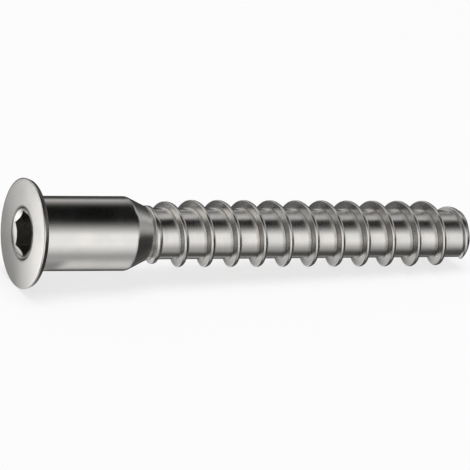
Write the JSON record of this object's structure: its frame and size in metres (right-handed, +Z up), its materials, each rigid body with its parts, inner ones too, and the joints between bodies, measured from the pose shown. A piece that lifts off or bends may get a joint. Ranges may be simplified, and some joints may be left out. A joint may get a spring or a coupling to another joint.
{
  "type": "furniture screw",
  "caption": "Furniture connecting screw lying on its side: thin flat head with a hexagon socket, plain shoulder, conical neck and a coarse thread that ends in a blunt tip.",
  "frame": {"origin": "on the ground under the middle of the lying screw's bounding box", "axes": "+X from the head towards the tip, with the screw's own axis sloping down by 2.8 degrees; +Z up"},
  "size_m": [0.0506, 0.0112, 0.0112],
  "materials": {
    "zinc_plated_steel": "bright zinc plating with a satin sheen"
  },
  "bodies": {
    "root": {"furniture_screw": "zinc_plated_steel"}
  },
  "joints": []
}
